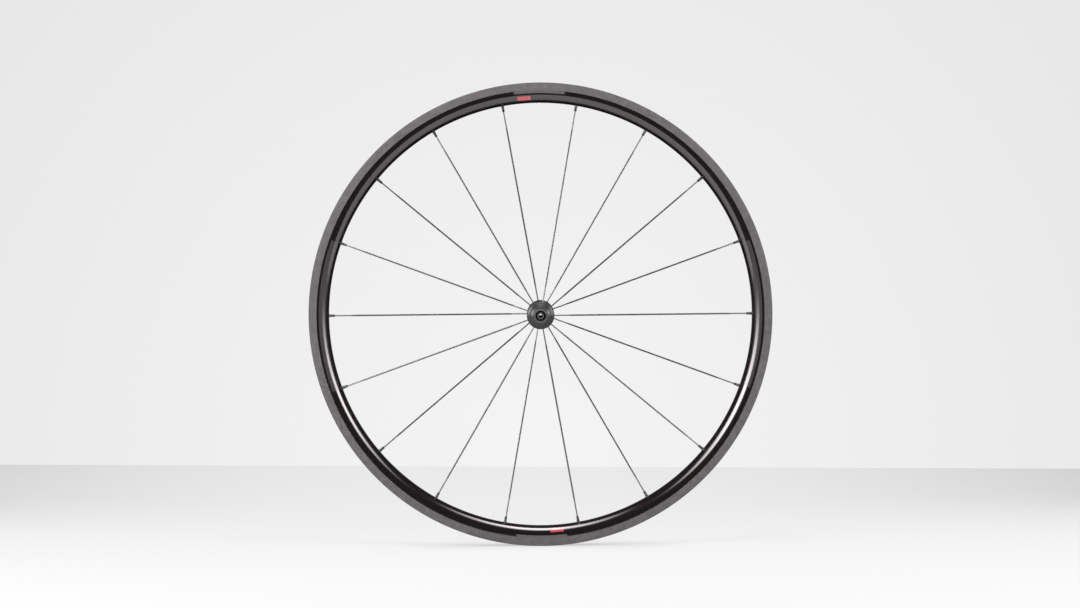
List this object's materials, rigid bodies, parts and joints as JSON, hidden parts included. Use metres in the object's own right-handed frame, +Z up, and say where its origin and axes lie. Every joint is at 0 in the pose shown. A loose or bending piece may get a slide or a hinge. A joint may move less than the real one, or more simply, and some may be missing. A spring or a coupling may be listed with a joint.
{
  "type": "bicycle wheel",
  "caption": "Front bicycle wheel for rim brakes: hollow hooked rim with flat brake tracks, radial bladed spokes, and a hub that spins on sealed bearings round a hollow axle.",
  "frame": {"origin": "centre of the wheel, on the axle line, midway between the two fork ends", "axes": "+Z up with the valve hole at the top, Y along the axle with +Y to the rider's left, +X forwards"},
  "size_m": [0.633, 0.109, 0.6329],
  "materials": {
    "rim_carbon": "clear-coated carbon with matte grey brake tracks",
    "rim_tape": "satin tape",
    "spoke_black": "black-coated stainless steel",
    "nipple_black": "black anodised",
    "hub_anodised": "satin black anodised",
    "cap_anodised": "satin black anodised",
    "axle_alloy": "machined",
    "bearing_steel": "ground",
    "cage_nylon": "moulded",
    "seal_rubber": "matte"
  },
  "bodies": {
    "axle": {"axle": "axle_alloy", "left_bearing_inner_ring": "bearing_steel", "left_end_cap": "cap_anodised", "left_cap_o_ring": "seal_rubber", "right_bearing_inner_ring": "bearing_steel", "right_end_cap": "cap_anodised", "right_cap_o_ring": "seal_rubber"},
    "wheel": {"rim": "rim_carbon", "rim_tape": "rim_tape", "nipples": "nipple_black", "hub_body": "hub_anodised", "spoke_01": "spoke_black", "spoke_02": "spoke_black", "spoke_03": "spoke_black", "spoke_04": "spoke_black", "spoke_05": "spoke_black", "spoke_06": "spoke_black", "spoke_07": "spoke_black", "spoke_08": "spoke_black", "spoke_09": "spoke_black", "spoke_10": "spoke_black", "spoke_11": "spoke_black", "spoke_12": "spoke_black", "spoke_13": "spoke_black", "spoke_14": "spoke_black", "spoke_15": "spoke_black", "spoke_16": "spoke_black", "spoke_17": "spoke_black", "spoke_18": "spoke_black", "left_bearing_outer_ring": "bearing_steel", "left_bearing_outer_seal": "seal_rubber", "left_bearing_inner_seal": "seal_rubber", "right_bearing_outer_ring": "bearing_steel", "right_bearing_outer_seal": "seal_rubber", "right_bearing_inner_seal": "seal_rubber"},
    "left_ball_set": {"left_bearing_balls": "bearing_steel", "left_bearing_cage": "cage_nylon"},
    "right_ball_set": {"right_bearing_balls": "bearing_steel", "right_bearing_cage": "cage_nylon"}
  },
  "joints": [
    {"name": "wheel_spin", "type": "hinge", "parent": "axle", "child": "wheel", "pos_m": [0, 0, 0], "axis": [0, 1, 0], "continuous": true},
    {"name": "left_ball_set_spin", "type": "hinge", "parent": "axle", "child": "left_ball_set", "pos_m": [0, 0.041, 0], "axis": [0, 1, 0], "continuous": true},
    {"name": "right_ball_set_spin", "type": "hinge", "parent": "axle", "child": "right_ball_set", "pos_m": [0, -0.041, 0], "axis": [0, 1, 0], "continuous": true}
  ],
  "couplings": [
    {"joint": "left_ball_set_spin", "follows": "wheel_spin", "ratio": 0.56154},
    {"joint": "right_ball_set_spin", "follows": "wheel_spin", "ratio": 0.56154}
  ]
}
